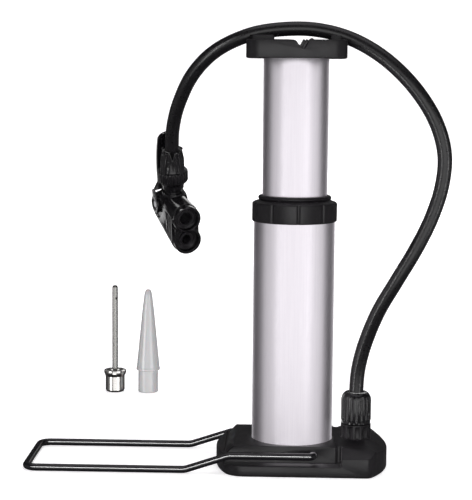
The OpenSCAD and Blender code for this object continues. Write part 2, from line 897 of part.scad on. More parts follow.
module tie_bolt() {
    color("#a8a8ac") {
        translate([0, 0, head_bottom - bolt_head_h]) cylinder(d = bolt_head_d, h = bolt_head_h, $fn = 6);
        translate([0, 0, head_bottom - EPS]) cylinder(d = bolt_d, h = bolt_end - head_bottom + EPS);
    }
}

module tie_nut() {
    color("#a8a8ac")
        translate([0, 0, nut_z])
            difference() {
                cylinder(d = nut_d, h = nut_h, $fn = 6);
                translate([0, 0, -1]) cylinder(r = bolt_d / 2 + fit_gap, h = nut_h + 2);
            }
}

// The notch across the handle's top that the folded bail drops into
module bail_notch() {
    rotate([90, 0, 0])
        linear_extrude(handle_w + 2, center = true)
            polygon([
                [notch_x - notch_left - notch_lead, handle_top + 1],
                [notch_x - notch_left - notch_lead, handle_top],
                [notch_x - notch_left - 1.2, handle_top - 0.2], [notch_x - notch_left, handle_top - 0.7],
                [notch_x - notch_left + 0.95, handle_top - notch_d / 2],
                [notch_x - notch_floor_w / 2, handle_top - notch_d],
                [notch_x + notch_floor_w / 2, handle_top - notch_d],
                [notch_x + notch_right, handle_top + 1]
            ]);
}

// Hollows under the handle, outside the tube's socket
module handle_pockets() {
    translate([0, 0, handle_bottom - 1])
        linear_extrude(handle_pocket_h + 1)
            difference() {
                round_rect(handle_l - 2 * handle_wall, handle_w - 2 * handle_wall,
                    handle_corner_r - handle_wall / 2);
                circle(r = tube_r + socket_wall);
                square([handle_l, 2], center = true);
            }
}

// A block at one end of the handle that the hose lies in
module hose_saddle(side, length) {
    x = side * (handle_l / 2 - saddle_inset - length / 2);
    translate([x, 0, handle_top + saddle_h / 2 - 1])
        cube([length, saddle_w, saddle_h + 2], center = true);
}

module handle() {
    bead = [notch_x + notch_right + lip_bead_r, handle_w / 2, handle_top - 0.2];
    color("#1e1e20")
        difference() {
            union() {
                translate([0, 0, handle_bottom])
                    linear_extrude(handle_h) round_rect(handle_l, handle_w, handle_corner_r);
                translate([0, 0, handle_bottom - handle_spigot_h])
                    cylinder(r = tube_ir - fit_gap, h = handle_spigot_h + 1);
                hose_saddle(-1, saddle_left_l);
                hose_saddle(1, saddle_right_l);
                rod([bead[0], -bead[1], bead[2]], bead, lip_bead_r);
            }
            bail_notch();
            handle_pockets();
            ring(tube_ir - fit_gap, tube_r + fit_gap, handle_bottom - 1, handle_bottom + tube_seat);
            translate([0, 0, nut_z - nut_floor - 1])
                cylinder(r = bolt_d / 2 + fit_gap, h = bolt_end + 2 - nut_z + nut_floor);
            translate([0, 0, nut_z])
                cylinder(d = nut_d + 2 * fit_gap, h = nut_h + fit_gap, $fn = 6);
            hose_stretch(hose_split - 2, hose_split + 3, hose_r + face_gap);
        }
}

// ---- valve head ----

module head_at() {
    translate(head_pos) rotate([head_tilt, 0, 0]) rotate([0, 0, head_turn - 90]) children();
}

// Lays a shape drawn sideways and up into a cylinder-like run along the nozzles
module along_nozzles(x0, x1) {
    translate([x0, 0, 0]) rotate([90, 0, 90]) linear_extrude(x1 - x0) children();
}

// A plate drawn in the head's side view, between two distances to its right
module across_head(y0, y1) {
    translate([0, y1, 0]) rotate([90, 0, 0]) linear_extrude(y1 - y0) children();
}

// Two circles one above the other, with straight sides between them
module two_rounds(r, gap) {
    translate([0, upper_z]) circle(r = r);
    translate([0, upper_z - gap]) circle(r = r);
    translate([-r, upper_z - gap]) square([2 * r, gap]);
}

// The body's belly: it deepens from the pin to the lower nozzle
module body_shell() {
    hull() {
        along_nozzles(pin_x - body_back_r, pin_x - body_back_r + 1) two_rounds(body_r, back_gap, $fn = 40);
        along_nozzles(body_front - 1, body_front) two_rounds(body_r, nozzle_gap, $fn = 40);
    }
}

// Side view of the body: round at the lever's pin and at the heel under it
module body_side() {
    over = body_front + 1;
    link_2d([pin_x, upper_z], body_back_r, [0, heel_z], heel_r);
    polygon([
        [pin_x, upper_z], [pin_x, upper_z] + (body_back_r - 0.2) * [-sin(27), cos(27)],
        [pin_x - 2.4, body_top + 1], [over, body_top + 1],
        [over, lower_z - body_r - 1], [0, lower_z - body_r - 1], [0, heel_z]
    ]);
}

module head_body() {
    color("#141416")
        head_at()
            difference() {
                union() {
                    intersection() {
                        body_shell();
                        across_head(-body_r - 1, body_r + 1) body_side();
                    }
                    translate([0, 0, upper_z]) cylinder(r = neck_r, h = axis_drop - face_gap);
                    translate([0, 0, body_top - 1.5]) cylinder(r = neck_ring_r, h = 2.5);
                    translate([0, 0, -1]) cylinder(r = head_thread_r, h = spigot_h + 1);
                }
                along_nozzles(pocket_back, body_front + 1) translate([0, upper_z]) circle(r = pocket_r);
                along_nozzles(low_pocket_back, body_front + 1)
                    translate([0, lower_z]) circle(r = low_pocket_r);
                along_nozzles(pin_x, pocket_back + 1)
                    translate([0, upper_z]) circle(r = plunger_stem_r + run_gap);
                across_head(-cam_half_w - face_gap, cam_half_w + face_gap)
                    translate([pin_x, upper_z]) circle(r = cam_pocket_r);
                across_head(-body_r - 1, body_r + 1)
                    translate([pin_x, upper_z]) circle(r = pin_r + run_gap);
                translate([0, 0, upper_z]) cylinder(r = air_r, h = axis_drop);
                translate([0, 0, body_top]) cylinder(r = barb_r + fit_gap, h = spigot_h - body_top + 1);
                for (side = [-1, 1]) {
                    cap_skirt(side, fit_gap);
                    ear_flat(side);
                }
            }
}

// Flat round the pin that an ear turns on
module ear_flat(side) {
    y0 = side * flat_half_w;
    y1 = side * (body_r + 1);
    across_head(min(y0, y1), max(y0, y1)) translate([pin_x, upper_z]) circle(r = ear_sweep_r);
}

// Ribbed wedge of the nozzle cap that lies in a notch in the body's side
module cap_skirt(side, gap) {
    middle = (upper_z + lower_z) / 2;
    back = body_front - skirt_l - gap;
    y0 = side * (body_r - skirt_t - gap);
    y1 = side * (body_r + 1);
    across_head(min(y0, y1), max(y0, y1))
        polygon([
            [back, middle + 0.7], [back + 3.6, upper_z + skirt_rise + gap],
            [body_front + EPS, upper_z + skirt_rise - 1 + gap], [body_front + EPS, lower_z - gap],
            [back + 3.6, lower_z - gap], [back + 1.3, middle - 3]
        ]);
}

module nozzle_cap() {
    middle = (upper_z + lower_z) / 2;
    color("#1a1a1c")
        head_at()
            difference() {
                union() {
                    along_nozzles(body_front, body_front + cap_t - cap_web_drop)
                        translate([-cap_r * 0.9, lower_z]) square([cap_r * 1.8, nozzle_gap]);
                    along_nozzles(body_front, body_front + cap_t)
                        for (z = [upper_z, lower_z]) translate([0, z]) circle(r = cap_r);
                    for (side = [-1, 1])
                        intersection() {
                            cap_skirt(side, 0);
                            along_nozzles(0, body_front + 1) two_rounds(body_r - 0.1, nozzle_gap);
                        }
                }
                along_nozzles(body_front + cap_t - cap_recess, body_front + cap_t + 1)
                    for (z = [upper_z, lower_z]) translate([0, z]) circle(r = cap_r - cap_rim_t);
                along_nozzles(body_front - 1, body_front + cap_t) {
                    translate([0, upper_z]) circle(r = wide_bore / 2 + seal_rim + fit_gap);
                    translate([0, lower_z]) circle(r = narrow_bore / 2 + seal_rim + fit_gap);
                }
                for (side = [-1, 1], k = [0 : skirt_ribs - 1])
                    translate([body_front - skirt_rib_pitch * (k + 1), side * (body_r - 0.1), middle])
                        cube([skirt_rib_pitch / 2, 2 * skirt_rib_d, 2 * nozzle_gap], center = true);
            }
}

module seal(z, r, bore, back) {
    difference() {
        along_nozzles(back, body_front) translate([0, z]) circle(r = r - fit_gap);
        along_nozzles(back - 1, body_front + 1) translate([0, z]) circle(r = bore / 2);
    }
    difference() {
        along_nozzles(body_front, seal_front) translate([0, z]) circle(r = bore / 2 + seal_rim);
        along_nozzles(body_front - 1, seal_front + 1) translate([0, z]) circle(r = bore / 2);
    }
}

module wide_seal() {
    color("#242426") head_at() seal(upper_z, pocket_r, wide_bore, wide_seal_back);
}

module narrow_seal() {
    color("#242426") head_at() seal(lower_z, low_pocket_r, narrow_bore, low_pocket_back + face_gap);
}

module plunger() {
    color("#9a9a9e")
        head_at() {
            along_nozzles(stem_back, plunger_head_x) translate([0, upper_z]) circle(r = plunger_stem_r);
            along_nozzles(plunger_head_x, plunger_head_x + plunger_head_t)
                translate([0, upper_z]) circle(r = pocket_r - face_gap);
        }
}

module hose_tail() {
    color("#b39a54")
        head_at()
            difference() {
                union() {
                    translate([0, 0, body_top + fit_gap]) cylinder(r = barb_r, h = spigot_h - body_top);
                    translate([0, 0, spigot_h + fit_gap]) cylinder(r = head_thread_r - stop_lip, h = 1);
                    barb(spigot_h + 1, tail_l);
                }
                translate([0, 0, body_top - 1]) cylinder(r = air_r, h = tail_l - body_top + 2);
            }
}

// Side view of the clamp nut's ring: a foot, a taper that the ribs run out on, and a chamfered top
module clamp_outline() {
    taper_top = clamp_foot_h + clamp_taper_h;
    rotate_extrude()
        polygon([
            [0, 0], [clamp_foot_r, 0], [clamp_foot_r, clamp_foot_h], [clamp_r + 0.2, taper_top],
            [clamp_r + 0.2, clamp_ring_h - 1], [clamp_r - 0.8, clamp_ring_h], [0, clamp_ring_h]
        ]);
}

// One finger of the cage: a wedge that leans inwards, with a round tip
module cage_finger() {
    tip_z = clamp_ring_h + cage_h;
    neck_x = finger_tip - 0.6;
    translate([0, finger_w / 2, 0])
        rotate([90, 0, 0])
            linear_extrude(finger_w) {
                polygon([
                    [nut_hole_r + 0.4, clamp_ring_h - 1], [finger_foot, clamp_ring_h - 1],
                    [finger_foot - 0.2, clamp_ring_h + cage_h * 0.4], [neck_x, tip_z - 2 * finger_tip_r],
                    [neck_x, tip_z], [nut_hole_r + 0.4, tip_z]
                ]);
                translate([finger_tip - finger_tip_r, tip_z - finger_tip_r])
                    circle(r = finger_tip_r, $fn = 24);
            }
}

module clamp_nut() {
    notch_foot = clamp_ring_h + cage_h - cage_notch_h;
    color("#161618")
        head_at()
            difference() {
                union() {
                    intersection() {
                        clamp_outline();
                        union() {
                            cylinder(r = clamp_foot_r + 0.1, h = clamp_foot_h + 0.2);
                            translate([0, 0, clamp_foot_h])
                                linear_extrude(clamp_ring_h)
                                    ribbed_circle(clamp_r, clamp_ribs, clamp_rib_r);
                        }
                    }
                    translate([0, 0, clamp_ring_h - EPS])
                        cylinder(r1 = cage_r, r2 = cage_top_r, h = cage_h);
                    for (k = [0 : finger_count - 1])
                        rotate([0, 0, finger_turn + 360 * k / finger_count]) cage_finger();
                }
                nut_bore(head_thread_r + fit_gap, clamp_ring_h, cage_h + 1);
                for (k = [0 : finger_count - 1])
                    rotate([0, 0, finger_turn + 360 * (k + 0.5) / finger_count])
                        translate([nut_hole_r - 1, 0, notch_foot])
                            rotate([90, 0, 90])
                                linear_extrude(clamp_r)
                                    polygon([
                                        [0, 0], [cage_notch_w / 2, cage_notch_h + 1],
                                        [-cage_notch_w / 2, cage_notch_h + 1]
                                    ]);
            }
}

// ---- lever ----

module lever_blade() {
    centre = [lever_mid_x + lever_arc_r, lever_mid_z];
    round_z = lever_top - lever_w / 2;
    intersection() {
        across_head(-ear_outer, ear_outer)
            difference() {
                translate(centre) circle(r = lever_arc_r + lever_t / 2, $fn = 180);
                translate(centre) circle(r = lever_arc_r - lever_t / 2, $fn = 180);
            }
        translate([lever_mid_x - 5, 0, 0]) rotate([90, 0, 90])
            linear_extrude(blade_depth) {
                translate([0, round_z]) circle(r = lever_w / 2);
                translate([-lever_w / 2, lever_foot_z]) square([lever_w, round_z - lever_foot_z]);
                polygon([
                    [-ear_outer, lever_foot_z - ear_top_drop], [-ear_inner, lever_foot_z - ear_top_drop],
                    [-ear_inner, lever_foot_z], [ear_inner, lever_foot_z],
                    [ear_inner, lever_foot_z - ear_top_drop], [ear_outer, lever_foot_z - ear_top_drop],
                    [lever_w / 2, lever_web_top], [-lever_w / 2, lever_web_top]
                ]);
            }
    }
}

// How far back the blade's middle lies at a height
function blade_x(z) = lever_mid_x + lever_arc_r - sqrt(pow(lever_arc_r, 2) - pow(z - lever_mid_z, 2));

// Side view of an ear: a round at the pin and a broad shield up to the blade
module ear_2d() {
    pin = [pin_x, upper_z];
    half_t = lever_t / 2;
    top = lever_foot_z - ear_top_drop;
    translate(pin) circle(r = ear_r);
    polygon([
        pin + ear_r * [-0.9, -0.2], [blade_x(top) - half_t + 0.1, top],
        [blade_x(lever_foot_z) - half_t + 0.1, lever_foot_z + 0.4],
        [blade_x(lever_foot_z) + half_t, lever_foot_z + 0.4],
        [pin_x + ear_r * 0.2, top + 0.2], pin + ear_r * [0.8, 0.3]
    ]);
}

module head_lever() {
    color("#18181a")
        head_at()
            difference() {
                union() {
                    lever_blade();
                    for (side = [-1, 1]) {
                        y0 = side * ear_inner;
                        y1 = side * ear_outer;
                        across_head(min(y0, y1), max(y0, y1)) ear_2d();
                        across_head(min(y1, y1 + side * ear_boss_t), max(y1, y1 + side * ear_boss_t))
                            translate([pin_x, upper_z])
                                difference() {
                                    circle(r = ear_r);
                                    circle(r = ear_r - 1.6);
                                }
                    }
                }
                across_head(-ear_outer - 1, ear_outer + 1)
                    translate([pin_x, upper_z]) circle(r = pin_r + fit_gap / 2);
            }
}

module lever_pin() {
    color("#a8a8ac")
        head_at()
            across_head(-pin_half_l, pin_half_l) translate([pin_x, upper_z]) circle(r = pin_r);
}

module lever_cam() {
    color("#8c8c90")
        head_at()
            across_head(-cam_half_w, cam_half_w)
                difference() {
                    translate([pin_x + cam_throw, upper_z]) circle(r = cam_r);
                    translate([pin_x, upper_z]) circle(r = pin_r + fit_gap / 2);
                }
}

// ---- wire foot bail ----

// A bend of the wire about a point, in the plane whose normal is turned onto Z
module wire_bend(r, from, sweep) {
    rotate([0, 0, from]) rotate_extrude(angle = sweep) translate([r, 0]) circle(r = wire_r);
}

module bail_corner(side) {
    translate([-bail_reach + bail_bend_r, side * (leg_y - bail_bend_r), wire_r])
        wire_bend(bail_bend_r, side > 0 ? 90 : 180, 90);
}

module eye_corner(side) {
    translate([pivot_x - eye_bend_r, side * (leg_y - eye_bend_r), pivot_z])
        wire_bend(eye_bend_r, side > 0 ? 0 : 270, 90);
}

// The leg, seen from the side: level in the base, sloping down, then level on the floor
module bail_leg(side) {
    y = side * leg_y;
    drop = atan2(pivot_z - wire_r, deck_leave_x - floor_reach_x);
    run = leg_bend_r * tan(drop / 2);
    slope = [cos(drop), 0, sin(drop)];
    upper = [deck_leave_x, y, pivot_z];
    lower = [floor_reach_x, y, wire_r];
    rod([pivot_x - eye_bend_r, y, pivot_z], upper + [run, 0, 0], wire_r);
    rod(upper - run * slope, lower + run * slope, wire_r);
    rod(lower - [run, 0, 0], [-bail_reach + bail_bend_r, y, wire_r], wire_r);
    translate(upper + [run, 0, -leg_bend_r]) rotate([90, 0, 0]) wire_bend(leg_bend_r, 90, drop);
    translate(lower + [-run, 0, leg_bend_r]) rotate([90, 0, 0]) wire_bend(leg_bend_r, 270, drop);
    for (end = [upper - run * slope, lower + run * slope])
        rod(end - slope * weld_l, end + slope * weld_l, wire_r + EPS);
    eye_corner(side);
    bail_corner(side);
    rod([pivot_x, side * (leg_y - eye_bend_r), pivot_z],
        [pivot_x, side * (deck_half_d - eye_depth + face_gap), pivot_z], wire_r);
}

module foot_bail() {
    color("#101012") {
        for (side = [-1, 1]) bail_leg(side);
        bar_y = leg_y - bail_bend_r;
        rod([-bail_reach, -bar_y, wire_r], [-bail_reach, bar_y, wire_r], wire_r);
    }
}

base();
barrel();
barrel_plug();
barrel_ring();
plug_screws();
check_valve();
collar();
guide_bush();
wiper_ring();
hose_port();
gland_nut();
hose_riser();
ball_needle_head();
ball_needle_tube();
cone_nozzle();
piston_tube();
piston_head();
piston_cup();
tie_bolt();
tie_nut();
handle();
hose_drop();
clamp_nut();
hose_tail();
head_body();
nozzle_cap();
wide_seal();
narrow_seal();
head_lever();
lever_pin();
lever_cam();
plunger();
foot_bail();
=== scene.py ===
import json
import math

import bpy
from mathutils import Euler, Matrix, Vector

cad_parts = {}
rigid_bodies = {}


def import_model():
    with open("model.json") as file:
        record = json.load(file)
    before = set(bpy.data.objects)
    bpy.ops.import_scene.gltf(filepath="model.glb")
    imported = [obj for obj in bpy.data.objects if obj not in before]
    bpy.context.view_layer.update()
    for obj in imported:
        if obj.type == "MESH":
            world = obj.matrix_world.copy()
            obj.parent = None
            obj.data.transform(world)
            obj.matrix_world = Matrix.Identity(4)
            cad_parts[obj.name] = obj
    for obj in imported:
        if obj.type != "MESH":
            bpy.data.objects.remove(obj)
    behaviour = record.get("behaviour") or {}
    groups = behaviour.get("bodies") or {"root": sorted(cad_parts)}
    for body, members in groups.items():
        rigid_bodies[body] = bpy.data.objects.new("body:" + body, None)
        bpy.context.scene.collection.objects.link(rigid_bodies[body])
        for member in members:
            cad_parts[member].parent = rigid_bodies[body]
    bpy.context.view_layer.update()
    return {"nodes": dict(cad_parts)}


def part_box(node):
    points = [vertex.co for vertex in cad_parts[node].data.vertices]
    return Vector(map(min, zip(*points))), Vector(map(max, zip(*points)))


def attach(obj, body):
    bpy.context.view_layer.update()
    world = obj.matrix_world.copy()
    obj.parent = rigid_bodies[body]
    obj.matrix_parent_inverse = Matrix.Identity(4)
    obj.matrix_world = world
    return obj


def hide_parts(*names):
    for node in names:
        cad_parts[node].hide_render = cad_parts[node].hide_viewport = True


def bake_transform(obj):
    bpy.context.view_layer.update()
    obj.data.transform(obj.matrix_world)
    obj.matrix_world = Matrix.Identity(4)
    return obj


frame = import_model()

nodes = frame["nodes"]
millimetre = 0.001

# where the pump is seen from
view = {
    "place": (-6.3, -837.6, 219.3),  # millimetres from the pump's axis on the floor
    "turn": 1.78,                    # degrees to the left of straight ahead
    "down": 6.75,                    # degrees below the level
    "roll": 0.48,                    # degrees that the camera leans to its left
    "lens": 109.0,
    "sensor": 36.0,
    "sees": (0.02, 20),              # metres, the nearest and the farthest
}


def addCamera():
    bpy.ops.object.select_all(action="DESELECT")
    bpy.ops.object.camera_add(location=Vector(view["place"]) * millimetre)
    camera = bpy.context.object
    aim = Euler((math.radians(90 - view["down"]), 0, math.radians(view["turn"])))
    camera.rotation_euler = (aim.to_matrix() @ Matrix.Rotation(math.radians(view["roll"]), 3, "Z")).to_euler()
    camera.name = "viewCamera"
    camera.data.lens = view["lens"]
    camera.data.sensor_width = view["sensor"]
    camera.data.clip_start, camera.data.clip_end = view["sees"]
    bpy.context.scene.camera = camera


addCamera()


# tools that every piece and material uses
def linear(hexColour):
    parts = [int(hexColour[i:i + 2], 16) / 255 for i in (1, 3, 5)]
    return tuple(c / 12.92 if c <= 0.04045 else ((c + 0.055) / 1.055) ** 2.4 for c in parts) + (1.0,)


def perMetre(sizeInMillimetres):
    return 1 / (sizeInMillimetres * millimetre)  # a texture's scale for marks of that size


def addNode(tree, kind, inputs=None, **settings):
    node = tree.nodes.new(kind)
    for name, value in settings.items():
        setattr(node, name, value)
    for name, value in (inputs or {}).items():
        if isinstance(value, bpy.types.NodeSocket):
            tree.links.new(value, node.inputs[name])
        else:
            node.inputs[name].default_value = value
    return node


def startMaterial(name, **sockets):
    material = bpy.data.materials.new(name)
    material.use_nodes = True
    tree = material.node_tree
    shader = tree.nodes["Principled BSDF"]
    for socket, value in sockets.items():
        shader.inputs[socket.replace("_", " ")].default_value = value
    place = addNode(tree, "ShaderNodeTexCoord").outputs["Object"]
    return material, tree, shader, place


noiseSpan = (0.3, 0.7)  # nearly all of a noise's values lie between these


def drawSurface(tree, shader, look, tint, sheen, relief=None):
    # tint mixes the look's two colours, sheen moves its roughness, and relief raises its surface
    colour = addNode(tree, "ShaderNodeMix",
                     {"Factor": tint.outputs["Fac"], 6: linear(look["colour"]), 7: linear(look["second"])},
                     data_type="RGBA")
    tree.links.new(colour.outputs[2], shader.inputs["Base Color"])
    rough = addNode(tree, "ShaderNodeMapRange",
                    {"Value": sheen.outputs["Fac"], "From Min": noiseSpan[0], "From Max": noiseSpan[1],
                     "To Min": look["roughness"][0], "To Max": look["roughness"][1]})
    tree.links.new(rough.outputs["Result"], shader.inputs["Roughness"])
    if relief:
        bump = addNode(tree, "ShaderNodeBump",
                       {"Height": relief.outputs["Fac"], "Strength": look["relief"],
                        "Distance": look["depth"] * millimetre})
        tree.links.new(bump.outputs["Normal"], shader.inputs["Normal"])


def selectOnly(piece):
    bpy.ops.object.select_all(action="DESELECT")
    piece.select_set(True)
    bpy.context.view_layer.objects.active = piece


def selectPoints(piece, isChosen):
    # the piece is left in edit mode, with the points at the chosen places selected
    selectOnly(piece)
    bpy.ops.object.mode_set(mode="EDIT")
    bpy.ops.mesh.select_all(action="DESELECT")
    bpy.ops.object.mode_set(mode="OBJECT")
    for vertex in piece.data.vertices:
        vertex.select = isChosen(vertex.co)
    bpy.ops.object.mode_set(mode="EDIT")


def applyModifier(piece, kind, **settings):
    selectOnly(piece)
    modifier = piece.modifiers.new(kind.title(), kind)
    for name, value in settings.items():
        setattr(modifier, name, value)
    bpy.ops.object.modifier_apply(modifier=modifier.name)


def roundEdges(piece, radius, segments, fromAngle, **settings):
    applyModifier(piece, "BEVEL", width=radius * millimetre, segments=segments, limit_method="ANGLE",
                  angle_limit=math.radians(fromAngle), **settings)


def nodeBody(nodeName):
    return nodes[nodeName].parent.name.removeprefix("body:")


def finishPiece(piece, material, body, replaced=(), smoothAngle=32):
    selectOnly(piece)
    bpy.ops.object.transform_apply(location=True, rotation=True, scale=True)
    bpy.ops.object.shade_smooth_by_angle(angle=math.radians(smoothAngle))
    piece.data.materials.clear()
    piece.data.materials.append(material)
    if body:
        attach(piece, body)
    if replaced:
        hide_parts(*replaced)
    return piece


# in each look, sizes and depths are in millimetres and roughness runs between its two values
mouldedLook = {
    "colour": "#131114", "second": "#1c1a1d",
    "roughness": (0.34, 0.46),
    "patch": 14.0,
    "grain": 1.1,      # drawn coarser than the mould's real grain, so that it shows
    "relief": 0.5, "depth": 0.08,
}


def sparkErodedPlastic():
    # ABS from a spark-eroded mould: a fine even grain that spreads each highlight into a soft sheen
    material, tree, shader, place = startMaterial("sparkErodedPlastic", IOR=1.5)
    grain = addNode(tree, "ShaderNodeTexNoise",
                    {"Vector": place, "Scale": perMetre(mouldedLook["grain"]), "Detail": 3.0})
    patch = addNode(tree, "ShaderNodeTexNoise",
                    {"Vector": place, "Scale": perMetre(mouldedLook["patch"]), "Detail": 4.0})
    drawSurface(tree, shader, mouldedLook, patch, patch, grain)
    return material


glossLook = {
    "colour": "#0a090b", "second": "#121113",
    "roughness": (0.13, 0.22),
    "fine": 1.1,
    "wave": 4.0,
    "relief": 0.4, "depth": 0.06,
}


def polishedPlastic():
    # nylon from a polished mould: sharp glints that waver a little where the wall has sunk
    material, tree, shader, place = startMaterial("polishedPlastic", IOR=1.53)
    wave = addNode(tree, "ShaderNodeTexNoise",
                   {"Vector": place, "Scale": perMetre(glossLook["wave"]), "Detail": 2.0})
    fine = addNode(tree, "ShaderNodeTexNoise",
                   {"Vector": place, "Scale": perMetre(glossLook["fine"]), "Detail": 3.0})
    drawSurface(tree, shader, glossLook, fine, fine, wave)
    return material


tubeLook = {
    "colour": "#f8f3f9", "second": "#ece7ee",
    "roughness": (0.34, 0.44),
    "speck": 0.9,
    "streak": 0.7,     # drawn wider than the real die lines, so that they show
    "stretch": 0.02,   # how slowly a streak changes along the tube
    "relief": 0.15, "depth": 0.02,
}


def drawnAluminium():
    # aluminium drawn through a die and anodised clear: fine lines along the tube and a soft pinkish sheen
    material, tree, shader, place = startMaterial("drawnAluminium", Metallic=1.0)
    along = addNode(tree, "ShaderNodeMapping", {"Vector": place, "Scale": (1, 1, tubeLook["stretch"])})
    streak = addNode(tree, "ShaderNodeTexNoise",
                     {"Vector": along.outputs["Vector"], "Scale": perMetre(tubeLook["streak"]), "Detail": 3.0})
    speck = addNode(tree, "ShaderNodeTexNoise",
                    {"Vector": place, "Scale": perMetre(tubeLook["speck"]), "Detail": 2.0})
    drawSurface(tree, shader, tubeLook, streak, speck, streak)
    return material


hoseLook = {
    "colour": "#0b0a0c", "second": "#131214",
    "roughness": (0.26, 0.34),
    "grain": 1.0,
    "relief": 0.2, "depth": 0.03,
}
sealLook = dict(hoseLook, colour="#161517", second="#201f22")  # the same rubber, dustier


def extrudedRubber(name, look):
    # soft PVC and rubber: satin, with a soft streak of light along a hose
    material, tree, shader, place = startMaterial(name, IOR=1.52)
    grain = addNode(tree, "ShaderNodeTexNoise", {"Vector": place, "Scale": perMetre(look["grain"]), "Detail": 3.0})
    drawSurface(tree, shader, look, grain, grain, grain)
    return material


wireLook = {
    "colour": "#050506", "second": "#0b0a0c",
    "roughness": (0.10, 0.16),
    "peel": 1.6,
    "relief": 0.25, "depth": 0.02,
}


def stovedEnamel():
    # steel wire with stoved black enamel: wet gloss with a trace of orange peel
    material, tree, shader, place = startMaterial("stovedEnamel", IOR=1.5)
    peel = addNode(tree, "ShaderNodeTexNoise",
                   {"Vector": place, "Scale": perMetre(wireLook["peel"]), "Detail": 1.0})
    drawSurface(tree, shader, wireLook, peel, peel, peel)
    return material


turning = {"mark": 0.6, "stretch": 0.1}  # the marks are drawn coarser than real ones, so that they show


def turnedMetal(name, bright, dull, roughness):
    # metal turned or ground, and plated or left bare: rings of tool marks catch the light
    material, tree, shader, place = startMaterial(name, Metallic=1.0)
    rings = addNode(tree, "ShaderNodeMapping",
                    {"Vector": place, "Scale": (turning["stretch"], turning["stretch"], 1)})
    marks = addNode(tree, "ShaderNodeTexNoise",
                    {"Vector": rings.outputs["Vector"], "Scale": perMetre(turning["mark"]), "Detail": 2.0})
    drawSurface(tree, shader, {"colour": bright, "second": dull, "roughness": roughness}, marks, marks)
    return material


cloudSize = 6.0


def mouldedPolymer(name, bright, dull, roughness, **sockets):
    # plain moulded plastic: slightly cloudy, with a low even sheen
    material, tree, shader, place = startMaterial(name, **sockets)
    cloud = addNode(tree, "ShaderNodeTexNoise", {"Vector": place, "Scale": perMetre(cloudSize), "Detail": 4.0})
    drawSurface(tree, shader, {"colour": bright, "second": dull, "roughness": roughness}, cloud, cloud)
    return material


mouldedBlack = sparkErodedPlastic()
glossBlack = polishedPlastic()
tubeMetal = drawnAluminium()
hoseRubber = extrudedRubber("extrudedRubber", hoseLook)
sealRubber = extrudedRubber("sealRubber", sealLook)
valveRubber = mouldedPolymer("siliconeRubber", "#7c2f24", "#6a281f", (0.4, 0.5))
enamelledWire = stovedEnamel()
nickelPlate = turnedMetal("nickelPlate", "#c6c4c1", "#b0aeab", (0.12, 0.2))
steelTube = turnedMetal("steelTube", "#8c8b89", "#7d7c7a", (0.22, 0.3))
brass = turnedMetal("turnedBrass", "#c9a961", "#b39250", (0.25, 0.35))
zincSteel = turnedMetal("zincSteel", "#b8b8bc", "#9c9ca0", (0.28, 0.4))
milkyPolythene = mouldedPolymer("milkyPolythene", "#9c9c9d", "#979798", (0.2, 0.26), IOR=1.51,
                                Coat_Weight=1.0, Coat_Roughness=0.2, Subsurface_Weight=0.25, Subsurface_Scale=0.002)
innerNylon = mouldedPolymer("innerNylon", "#2a2a2c", "#222224", (0.45, 0.55))
acetal = mouldedPolymer("acetal", "#d9d5c4", "#cfcab8", (0.4, 0.5))
camNylon = mouldedPolymer("camNylon", "#8c8c90", "#7c7c80", (0.4, 0.5))
print("materials made:", len(bpy.data.materials))


hose = {
    "diameter": 8.0,
    "exit": (36, 0, 40),   # the top of the gland nut
    "stepsPerPoint": 10,
    "ringDetail": 5,
    # millimetres: up from the base, over the handle and down to the valve head
    "route": [
        (36, 0, 33), (36, 0, 43), (37, -1, 55), (40.5, -4, 70), (47, -9, 88), (56, -13, 105),
        (66, -15, 123), (74, -15.5, 140), (79.5, -15.5, 158), (80.5, -15.5, 176), (75, -14.5, 194),
        (63.5, -12, 211.5), (48, -7, 226.5), (30, -2, 237), (10.5, 0, 242), (-9.5, 0, 242),
        (-27.5, 1.5, 238.5), (-45, 7.5, 230), (-58, 16.5, 217), (-66.5, 27.5, 200.5),
        (-70.5, 36.5, 186), (-71.4, 43.4, 173.5), (-71.4, 47, 164),
    ],
    "bendFrom": (36, 0, 33),      # the two points between which the real hose bends as the handle slides
    "bendTo": (-64.3, 0, 166.8),
    "smoothAngle": 60,
}


def smoothRoute(points, steps):
    # a curve through all the points, with steps of it between each two
    knots = [Vector(p) * millimetre for p in points]
    knots = [2 * knots[0] - knots[1]] + knots + [2 * knots[-1] - knots[-2]]
    line = []
    for a, b, c, d in zip(knots, knots[1:], knots[2:], knots[3:]):
        for step in range(steps):
            u = step / steps
            line.append(0.5 * (2 * b + (c - a) * u + (2 * a - 5 * b + 4 * c - d) * u ** 2
                               + (3 * b - a - 3 * c + d) * u ** 3))
    return line + [knots[-2]]


def tubeAlong(name, line, radius, detail):
    curve = bpy.data.curves.new(name, "CURVE")
    curve.dimensions = "3D"
    curve.bevel_depth = radius
    curve.bevel_resolution = detail
    curve.use_fill_caps = True
    spline = curve.splines.new("POLY")
    spline.points.add(len(line) - 1)
    for point, place in zip(spline.points, line):
        point.co = (*place, 1)
    piece = bpy.data.objects.new(name, curve)
    bpy.context.collection.objects.link(piece)
    selectOnly(piece)
    bpy.ops.object.convert(target="MESH")
    return bpy.context.object


def addHose():
    line = smoothRoute(hose["route"], hose["stepsPerPoint"])
    piece = tubeAlong("rubber_hose", line, hose["diameter"] / 2 * millimetre, hose["ringDetail"])
    finishPiece(piece, hoseRubber, None, ("hose_riser", "hose_drop"), hose["smoothAngle"])
    length = sum((b - a).length for a, b in zip(line, line[1:]))
    print("hose:", round(length, 4), "m")
    return piece, line, length


hosePiece, hoseLine, hoseLength = addHose()


